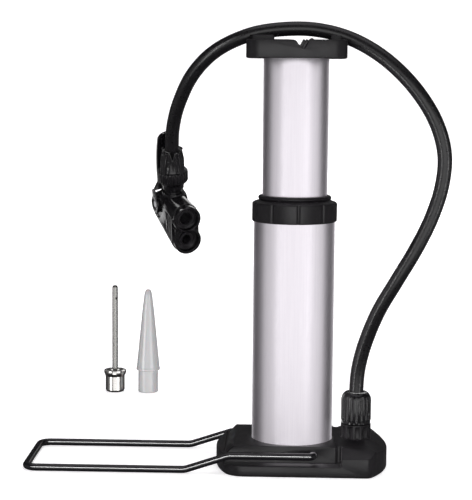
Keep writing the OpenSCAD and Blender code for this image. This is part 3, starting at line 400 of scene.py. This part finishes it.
# each moulding: the piece's name, the radius of its edges in millimetres, its material and its slot
mouldings = {
    "base": ("base_moulding", 0.45, mouldedBlack, "moulded_plastic"),
    "collar": ("collar_cap", 0.25, mouldedBlack, "moulded_plastic"),
    "handle": ("handle_moulding", 0.6, mouldedBlack, "moulded_plastic"),
    "gland_nut": ("gland_nut_ribbed", 0.2, glossBlack, "gloss_plastic"),
    "clamp_nut": ("clamp_nut_ribbed", 0.2, glossBlack, "gloss_plastic"),
    "head_body": ("valve_head_shell", 0.3, glossBlack, "gloss_plastic"),
    "nozzle_cap": ("nozzle_cap_front", 0.2, glossBlack, "gloss_plastic"),
    "head_lever": ("locking_lever", 0.35, glossBlack, "gloss_plastic"),
}
mouldEdge = {
    "weld": 0.002,    # millimetres within which loose corners are joined
    "flat": 0.4,      # degrees between faces that count as one
    "sharp": 32,      # degrees from which an edge is rounded
    "segments": 2,
}


def roundedCopy(nodeName, pieceName, edgeRadius, material, slotName):
    # a moulding made from the frame's solid, with its sharp edges rounded as the mould's are
    piece = bpy.data.objects.new(pieceName, nodes[nodeName].data.copy())
    bpy.context.collection.objects.link(piece)
    selectOnly(piece)
    bpy.ops.object.mode_set(mode="EDIT")
    bpy.ops.mesh.select_all(action="SELECT")
    bpy.ops.mesh.remove_doubles(threshold=mouldEdge["weld"] * millimetre)
    bpy.ops.mesh.dissolve_limited(angle_limit=math.radians(mouldEdge["flat"]))
    bpy.ops.object.mode_set(mode="OBJECT")
    roundEdges(piece, edgeRadius, mouldEdge["segments"], mouldEdge["sharp"],
               use_clamp_overlap=False, miter_outer="MITER_ARC")
    return finishPiece(piece, material, nodeBody(nodeName), (nodeName,))


catch = {
    "fingers": (1.0, 2.6),        # millimetres from the notch's steep wall to each finger's middle
    "thick": 1.6,
    "deep": 4.0,
    "tall": 5.4,
    "foot": (4.1, -22.8, -4.9),   # where the steep wall meets the notch's floor, below the handle's top
    "lean": 27.8,                 # degrees, as the steep wall leans
    "tip": 0.92,                  # how thick the tip is beside the foot
    "rounding": 0.45,
    "sharp": 40,
    "saddles": 2.6,               # how far the hose saddles stand above the handle's top
}


def addCatchFingers():
    # two springy fingers in the handle's notch, which hold the folded wire
    lean = math.radians(catch["lean"])
    along = Vector((math.sin(lean), 0, math.cos(lean)))
    top = Vector((0, 0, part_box("handle")[1][2] / millimetre - catch["saddles"]))
    fingers = []
    for offset in catch["fingers"]:
        middle = Vector(catch["foot"]) + top + along * catch["tall"] / 2 + Vector((-offset, catch["deep"] / 2, 0))
        bpy.ops.object.select_all(action="DESELECT")
        bpy.ops.mesh.primitive_cube_add(size=1, location=middle * millimetre, rotation=(0, lean, 0))
        finger = bpy.context.object
        finger.scale = Vector((catch["thick"], catch["deep"], catch["tall"])) * millimetre
        bpy.ops.object.transform_apply(location=False, rotation=False, scale=True)
        selectPoints(finger, lambda place: place.z > 0)
        bpy.ops.transform.resize(value=(catch["tip"], 1, 1))
        bpy.ops.object.mode_set(mode="OBJECT")
        roundEdges(finger, catch["rounding"], 2, catch["sharp"])
        fingers.append(finger)
    selectOnly(fingers[0])
    fingers[1].select_set(True)
    bpy.ops.object.join()
    fingers[0].name = "catch_fingers"
    return finishPiece(fingers[0], mouldedBlack, "piston")


moulded = {nodeName: roundedCopy(nodeName, *how) for nodeName, how in mouldings.items()}
addCatchFingers()
print("mouldings rounded:", len(moulded))


aluminium = {
    "sides": 160,
    "endRounding": 0.3,
    "sharp": 60,
    "barrel": {"across": 45.0, "wall": 1.5},
    "piston_tube": {"across": 36.0, "wall": 1.4},
}


def addDrawnTube(nodeName, pieceName):
    # a straight tube between the heights of its node, with its cut ends rounded
    size = aluminium[nodeName]
    low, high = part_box(nodeName)
    bpy.ops.object.select_all(action="DESELECT")
    bpy.ops.mesh.primitive_cylinder_add(vertices=aluminium["sides"], radius=size["across"] / 2 * millimetre,
                                        depth=high[2] - low[2], end_fill_type="NOTHING",
                                        location=(0, 0, (low[2] + high[2]) / 2))
    piece = bpy.context.object
    piece.name = pieceName
    applyModifier(piece, "SOLIDIFY", thickness=size["wall"] * millimetre, offset=-1)
    roundEdges(piece, aluminium["endRounding"], 3, aluminium["sharp"])
    return finishPiece(piece, tubeMetal, nodeBody(nodeName), (nodeName,))


barrelTube = addDrawnTube("barrel", "barrel_drawn")
pistonTube = addDrawnTube("piston_tube", "piston_tube_drawn")
print("tubes drawn")


wire = {
    "across": 4.0,
    "sides": 28,
    "legOut": 28.6,         # millimetres from the pump's middle to a leg
    "eye": (11.6, 10.0),    # place along the base, and height, of the pivots
    "eyeReach": 21.3,       # how far out from the middle a pivot end starts
    "eyeBend": 2.5,
    "leavesBase": -34.5,
    "meetsFloor": -58.7,
    "legBend": 12.0,
    "barAt": -146.7,
    "barBend": 6.0,
    "bendSteps": 10,
    "endRounding": 0.4,
    "sharp": 70,
}


def addFootBail():
    # one wire, bent cold: half of it is a disc drawn out along each straight and spun round each bend
    leg, bend, legBend, barBend = wire["legOut"], wire["eyeBend"], wire["legBend"], wire["barBend"]
    eyeX, eyeZ = wire["eye"]
    upperX, floorX = wire["leavesBase"], wire["meetsFloor"]
    floorZ = wire["across"] / 2
    drop = math.atan2(eyeZ - floorZ, upperX - floorX)
    run = legBend * math.tan(drop / 2)
    bpy.ops.object.select_all(action="DESELECT")
    bpy.ops.mesh.primitive_circle_add(
        vertices=wire["sides"], radius=wire["across"] / 2 * millimetre, fill_type="NGON",
        location=Vector((eyeX, -wire["eyeReach"], eyeZ)) * millimetre, rotation=(math.radians(90), 0, 0))
    piece = bpy.context.object
    piece.name = "wire_foot_bail"
    bpy.ops.object.transform_apply(location=True, rotation=True, scale=True)
    bpy.ops.object.mode_set(mode="EDIT")
    bpy.ops.mesh.select_all(action="SELECT")

    def drawOut(x, y, z):
        bpy.ops.mesh.extrude_region_move(TRANSFORM_OT_translate={"value": Vector((x, y, z)) * millimetre})

    def bendRound(centre, axis, angle):
        bpy.ops.mesh.spin(steps=wire["bendSteps"], angle=angle, center=Vector(centre) * millimetre, axis=axis)

    drawOut(0, wire["eyeReach"] - leg + bend, 0)
    bendRound((eyeX - bend, bend - leg, eyeZ), (0, 0, 1), math.pi / 2)
    drawOut(upperX + run - eyeX + bend, 0, 0)
    bendRound((upperX + run, -leg, eyeZ - legBend), (0, 1, 0), drop)
    slope = Vector((math.cos(drop), 0, math.sin(drop)))
    drawOut(*(Vector((floorX - upperX, 0, floorZ - eyeZ)) + 2 * run * slope))
    bendRound((floorX - run, -leg, floorZ + legBend), (0, 1, 0), -drop)
    drawOut(wire["barAt"] + barBend - floorX + run, 0, 0)
    bendRound((wire["barAt"] + barBend, barBend - leg, floorZ), (0, 0, 1), math.pi / 2)
    drawOut(0, leg - barBend, 0)
    bpy.ops.mesh.delete(type="ONLY_FACE")  # the open end is where the mirrored half joins
    bpy.ops.object.mode_set(mode="OBJECT")
    applyModifier(piece, "MIRROR", use_axis=(False, True, False), merge_threshold=0.01 * millimetre)
    roundEdges(piece, wire["endRounding"], 2, wire["sharp"])
    bpy.ops.object.mode_set(mode="EDIT")
    bpy.ops.mesh.select_all(action="SELECT")
    bpy.ops.mesh.normals_make_consistent(inside=False)
    bpy.ops.object.mode_set(mode="OBJECT")
    return finishPiece(piece, enamelledWire, "bail", ("foot_bail",))


footBail = addFootBail()
print("foot bail bent")


# the nodes that keep their own shape
finishes = {
    "barrel_plug": (innerNylon, "inner_plastic"),
    "piston_head": (innerNylon, "inner_plastic"),
    "guide_bush": (acetal, "bush_plastic"),
    "lever_cam": (camNylon, "cam_plastic"),
    "plunger": (camNylon, "cam_plastic"),
    "barrel_ring": (sealRubber, "seal_rubber"),
    "wiper_ring": (sealRubber, "seal_rubber"),
    "piston_cup": (sealRubber, "seal_rubber"),
    "wide_seal": (sealRubber, "seal_rubber"),
    "narrow_seal": (sealRubber, "seal_rubber"),
    "check_valve": (valveRubber, "valve_rubber"),
    "hose_port": (brass, "fitting_brass"),
    "hose_tail": (brass, "fitting_brass"),
    "plug_screws": (zincSteel, "fastener_steel"),
    "tie_bolt": (zincSteel, "fastener_steel"),
    "tie_nut": (zincSteel, "fastener_steel"),
    "lever_pin": (zincSteel, "fastener_steel"),
    "ball_needle_head": (nickelPlate, "needle_nickel"),
    "ball_needle_tube": (steelTube, "needle_nickel"),
    "cone_nozzle": (milkyPolythene, "cone_plastic"),
}

for nodeName, (material, slotName) in finishes.items():
    nodes[nodeName].data.materials.clear()
    nodes[nodeName].data.materials.append(material)
print("nodes finished:", len(finishes))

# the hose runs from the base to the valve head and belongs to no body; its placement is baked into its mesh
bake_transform(hosePiece)


studio = {
    # the floor, in metres
    "floorRadius": 1.5,
    "floorSides": 64,
    "wallRadius": 2.6,
    "wallHeight": 1.6,
    "wallSteps": 12,
    "floorColour": "#f6f5f6",
    "floorGlow": 0.5,
    # the walls, as brightness and as slopes up from the pump
    "wallColour": "#fbf8fc",
    "brightSide": (0.26, -0.966, 0.0),  # the walls are brightest on this side of the pump
    "brightSpan": (-0.8, 0.9),          # from straight behind, at -1, to the bright side, at 1
    "frontLight": 0.12,
    "backLight": 0.05,
    "wallTop": (0.02, 0.22),            # the walls fade out between these two slopes
    "wallFoot": (-0.75, -0.5),
    "frontRise": 0.42,                  # how much higher the front wall reaches
    "shade": 0.03,                      # what is left between the walls and the ceiling
    "ceiling": 0.9,
    "ceilingFrom": (0.8, 0.95),
    "lampsAim": (0, 0, 0.1),
}


def addFloor():
    # a round pale floor whose rim curves up into a low wall, so that every view ends in the same paper white
    radius, height = studio["floorRadius"], 0
    rise = studio["wallRadius"] - studio["floorRadius"]
    turns = [math.pi / 2 * step / studio["wallSteps"] for step in range(1, studio["wallSteps"] + 1)]
    profile = [(radius + rise * math.sin(turn), rise * (1 - math.cos(turn))) for turn in turns]
    profile.append((studio["wallRadius"], studio["wallHeight"]))
    bpy.ops.object.select_all(action="DESELECT")
    bpy.ops.mesh.primitive_circle_add(vertices=studio["floorSides"], radius=radius, fill_type="NOTHING")
    floor = bpy.context.object
    floor.name = "studioFloor"
    bpy.ops.object.mode_set(mode="EDIT")
    bpy.ops.mesh.select_all(action="SELECT")
    for nextRadius, nextHeight in profile:
        bpy.ops.mesh.extrude_edges_move(TRANSFORM_OT_translate={"value": (0, 0, nextHeight - height)})
        bpy.ops.transform.resize(value=(nextRadius / radius, nextRadius / radius, 1), center_override=(0, 0, 0))
        radius, height = nextRadius, nextHeight
    bpy.ops.object.mode_set(mode="OBJECT")
    selectPoints(floor, lambda place: place.z == 0)
    bpy.ops.mesh.edge_face_add()
    bpy.ops.mesh.select_all(action="SELECT")
    bpy.ops.mesh.normals_make_consistent(inside=True)
    bpy.ops.object.mode_set(mode="OBJECT")
    bpy.ops.object.shade_smooth()
    material, _, shader, _ = startMaterial("paperFloor", Roughness=0.9, Specular_IOR_Level=0.1)
    shader.inputs["Base Color"].default_value = linear(studio["floorColour"])
    shader.inputs["Emission Color"].default_value = linear("#ffffff")
    shader.inputs["Emission Strength"].default_value = studio["floorGlow"]
    floor.data.materials.append(material)
    floor.visible_glossy = False


def addWorld():
    # the studio is bright in front of the pump and dim behind it, with a light ceiling
    world = bpy.data.worlds.new("studioWorld")
    bpy.context.scene.world = world
    world.use_nodes = True
    tree = world.node_tree

    def fade(value, ends, start, end, kind="SMOOTHSTEP"):
        return addNode(tree, "ShaderNodeMapRange",
                       {"Value": value, "From Min": ends[0], "From Max": ends[1], "To Min": start, "To Max": end},
                       interpolation_type=kind).outputs["Result"]

    def combined(first, second, operation):
        return addNode(tree, "ShaderNodeMath", {0: first, 1: second}, operation=operation).outputs["Value"]

    direction = addNode(tree, "ShaderNodeTexCoord").outputs["Generated"]
    height = addNode(tree, "ShaderNodeSeparateXYZ", {0: direction}).outputs["Z"]
    level = addNode(tree, "ShaderNodeVectorMath", {0: direction, 1: (1, 1, 0)}, operation="MULTIPLY")
    heading = addNode(tree, "ShaderNodeVectorMath", {0: level.outputs["Vector"]}, operation="NORMALIZE")
    frontness = addNode(tree, "ShaderNodeVectorMath", {0: heading.outputs["Vector"], 1: studio["brightSide"]},
                        operation="DOT_PRODUCT").outputs["Value"]
    around = fade(frontness, studio["brightSpan"], studio["backLight"], studio["frontLight"], "LINEAR")
    rise = combined(combined(frontness, 0.0, "MAXIMUM"), studio["frontRise"], "MULTIPLY")
    wall = combined(fade(combined(height, rise, "SUBTRACT"), studio["wallTop"], 1.0, 0.0),
                    fade(height, studio["wallFoot"], 0.0, 1.0), "MULTIPLY")
    lit = combined(combined(wall, around, "MULTIPLY"), studio["shade"], "ADD")
    strength = combined(lit, fade(height, studio["ceilingFrom"], 0.0, studio["ceiling"]), "ADD")
    shader = tree.nodes["Background"]
    shader.inputs["Color"].default_value = linear(studio["wallColour"])
    tree.links.new(strength, shader.inputs["Strength"])


def addSoftbox(name, place, size, power, only, shaded):
    # a flat light that faces the middle of the pump and shows in no gloss, unless it lights some pieces only
    bpy.ops.object.select_all(action="DESELECT")
    aim = Vector(studio["lampsAim"]) - Vector(place)
    bpy.ops.object.light_add(type="AREA", location=place, rotation=aim.to_track_quat("-Z", "Y").to_euler())
    lamp = bpy.context.object
    lamp.name = name
    lamp.data.shape = "RECTANGLE"
    lamp.data.size, lamp.data.size_y = size
    lamp.data.energy = power
    lamp.visible_camera = False
    lamp.visible_glossy = bool(only)
    if only:
        lit = bpy.data.collections.new(name + "Lights")
        for piece in only:
            lit.objects.link(piece)
        lamp.light_linking.receiver_collection = lit
        if not shaded:
            lamp.light_linking.blocker_collection = lit


addFloor()
addWorld()

# the dark foot plate and what it holds stay out of the barrel's sheen
footPieces = [nodes[name] for name in ("barrel_plug", "barrel_ring", "hose_port", "plug_screws", "check_valve")]
for piece in [moulded["base"]] + footPieces:
    piece.visible_glossy = False

# which pieces each group of lamps lights, and an empty list is all of them
tubes = [barrelTube, pistonTube]
litPieces = {
    "all": [],
    "tubes": tubes,
    "others": [piece for piece in bpy.data.objects if piece.type == "MESH" and piece not in tubes],
    "gloss": [moulded[name] for name in ("head_body", "nozzle_cap", "clamp_nut", "gland_nut", "head_lever")]
             + [nodes["lever_pin"]],
    "ribs": [moulded["clamp_nut"], moulded["gland_nut"], hosePiece],
    "wire": [footBail],
    "adapters": [nodes[name] for name in ("ball_needle_head", "ball_needle_tube", "cone_nozzle")],
}

# each lamp: its place and its size in metres, and its power in watts
lamps = {
    "all": {
        "topBox": ((0.1, -0.1, 1.5), (1.2, 1.2), 4),
        "backBox": ((0.2, 1.7, 0.7), (0.8, 0.8), 10),
    },
    "tubes": {
        "tubeBox": ((0.0, -1.6, 0.1), (3.6, 2.4), 25.5),
        "tubeBoxLeft": ((-1.6, -0.65, 0.1), (1.8, 2.4), 7.3),
        "tubeBoxRight": ((1.6, -0.65, 0.1), (1.8, 2.4), 9.2),
        "tubeBoxBack": ((0.1, 1.7, 0.2), (2.2, 2.0), 9),
    },
    "others": {
        "frontBox": ((0.1, -1.6, 0.1), (1.7, 1.3), 10.6),
        "frontBoxLeft": ((-1.8, -0.4, 0.1), (1.6, 1.5), 1.0),
        "frontBoxRight": ((1.8, -0.4, 0.1), (1.6, 1.5), 1.0),
        "backGlow": ((0.1, 1.6, 1.3), (2.2, 1.0), 1.2),
    },
    "gloss": {
        "rimBox": ((-0.64, 0.32, 1.3), (0.5, 0.5), 4),
        "leftBox": ((-0.8, 1.0, -0.1), (0.5, 1.3), 2.4),
        "rightBox": ((0.2, 1.0, 0.62), (0.4, 0.4), 1.2),
    },
    "ribs": {
        "stripBoxLeft": ((-1.1, -0.9, 0.1), (0.1, 1.2), 6),
        "stripBoxRight": ((1.1, -0.8, 0.1), (0.1, 1.2), 5),
    },
    "wire": {
        "wireBox": ((-0.1, -1.5, 0.5), (2.8, 0.2), 95),
    },
    "adapters": {
        "adapterBoxLeft": ((-1.1, -0.8, 0.1), (0.7, 0.9), 7.5),
        "adapterBoxRight": ((0.8, -0.8, 0.1), (0.7, 0.9), 6.2),
        "adapterBoxBack": ((-0.1, 1.1, 0.6), (0.8, 0.4), 1.8),
        "adapterBoxLow": ((-0.1, -0.9, -0.5), (0.8, 0.4), 4),
    },
}

for group, boxes in lamps.items():
    for name, (place, size, power) in boxes.items():
        addSoftbox(name, place, size, power, litPieces[group], shaded=group == "others")
bpy.context.scene.view_settings.view_transform = "Standard"
print("studio ready:", len(bpy.data.lights), "lamps")
